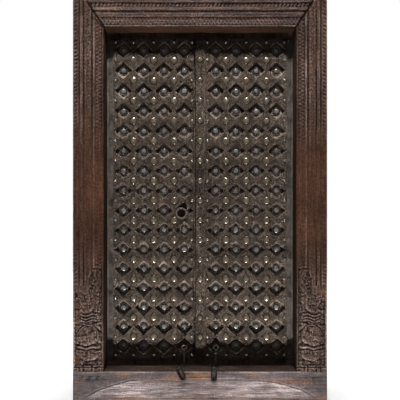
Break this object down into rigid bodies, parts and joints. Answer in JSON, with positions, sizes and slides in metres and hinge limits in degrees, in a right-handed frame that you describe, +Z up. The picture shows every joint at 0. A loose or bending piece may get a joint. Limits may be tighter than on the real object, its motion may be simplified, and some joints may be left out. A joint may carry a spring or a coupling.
{
  "type": "carved temple door",
  "caption": "Carved double temple door in its timber frame: studded diamond-lattice leaves turn on pivots, with hanging chain links and rings above a worn threshold.",
  "frame": {"origin": "middle of the underside of the threshold", "axes": "+Z up, +X to the right seen from the front, +Y to the back, into the building"},
  "size_m": [1.33, 0.243, 2.1],
  "materials": {
    "carved_wood": "dark oiled hardwood, carved and dusty",
    "worn_wood": "pale foot-worn hardwood",
    "plain_wood": "plain dark hardwood",
    "plank_wood": "sawn hardwood planks, grey with age",
    "lattice_wood": "weathered grey-brown hardwood",
    "boss_metal": "dull dark brass, polished at the crown",
    "nail_iron": "worn forged iron",
    "strap_iron": "smooth grey forged strip",
    "black_iron": "black forged iron"
  },
  "bodies": {
    "frame": {"left_jamb": "carved_wood", "right_jamb": "carved_wood", "head": "carved_wood", "threshold": "worn_wood", "left_lug": "plain_wood", "right_lug": "plain_wood", "lug_pegs": "plain_wood", "left_socket": "black_iron", "right_socket": "black_iron", "left_staple": "black_iron", "right_staple": "black_iron"},
    "left_leaf": {"left_post": "plank_wood", "left_plank_1": "plank_wood", "left_plank_2": "plank_wood", "left_top_pin": "black_iron", "left_bottom_pin": "black_iron", "left_batten_1": "plank_wood", "left_batten_2": "plank_wood", "left_batten_3": "plank_wood", "left_batten_4": "plank_wood", "left_batten_5": "plank_wood", "left_batten_nails": "nail_iron", "left_lattice": "lattice_wood", "left_edge_strap": "strap_iron", "left_strap_nails": "nail_iron", "left_recess_nails": "nail_iron", "left_bosses": "boss_metal", "left_edge_nails": "nail_iron", "lock_collar": "black_iron", "left_eye": "black_iron"},
    "right_leaf": {"right_post": "plank_wood", "right_plank_1": "plank_wood", "right_plank_2": "plank_wood", "right_top_pin": "black_iron", "right_bottom_pin": "black_iron", "right_batten_1": "plank_wood", "right_batten_2": "plank_wood", "right_batten_3": "plank_wood", "right_batten_4": "plank_wood", "right_batten_5": "plank_wood", "right_batten_nails": "nail_iron", "right_lattice": "lattice_wood", "right_edge_strap": "strap_iron", "right_strap_nails": "nail_iron", "right_recess_nails": "nail_iron", "right_bosses": "boss_metal", "right_edge_nails": "nail_iron", "meeting_strip": "lattice_wood", "meeting_studs": "boss_metal", "right_eye": "black_iron"},
    "left_link_body": {"left_link": "black_iron"},
    "right_link_body": {"right_link": "black_iron"},
    "left_ring_body": {"left_ring": "black_iron"},
    "right_ring_body": {"right_ring": "black_iron"}
  },
  "joints": [
    {"name": "left_leaf_swing", "type": "hinge", "parent": "frame", "child": "left_leaf", "pos_m": [-0.509, 0.02, 0.156], "axis": [0, 0, 1], "range_deg": [0, 100]},
    {"name": "right_leaf_swing", "type": "hinge", "parent": "frame", "child": "right_leaf", "pos_m": [0.509, 0.02, 0.156], "axis": [0, 0, -1], "range_deg": [0, 100]},
    {"name": "left_link_swing", "type": "hinge", "parent": "left_leaf", "child": "left_link_body", "pos_m": [-0.08544, -0.036, 0.243], "axis": [-1, 0, 0], "range_deg": [0, 85]},
    {"name": "right_link_swing", "type": "hinge", "parent": "right_leaf", "child": "right_link_body", "pos_m": [0.08544, -0.036, 0.243], "axis": [-1, 0, 0], "range_deg": [0, 85]},
    {"name": "left_ring_swing", "type": "hinge", "parent": "frame", "child": "left_ring_body", "pos_m": [-0.112, -0.116, 0.1764], "axis": [-1, 0, 0], "range_deg": [0, 95]},
    {"name": "right_ring_swing", "type": "hinge", "parent": "frame", "child": "right_ring_body", "pos_m": [0.073, -0.116, 0.1764], "axis": [-1, 0, 0], "range_deg": [0, 95]}
  ]
}
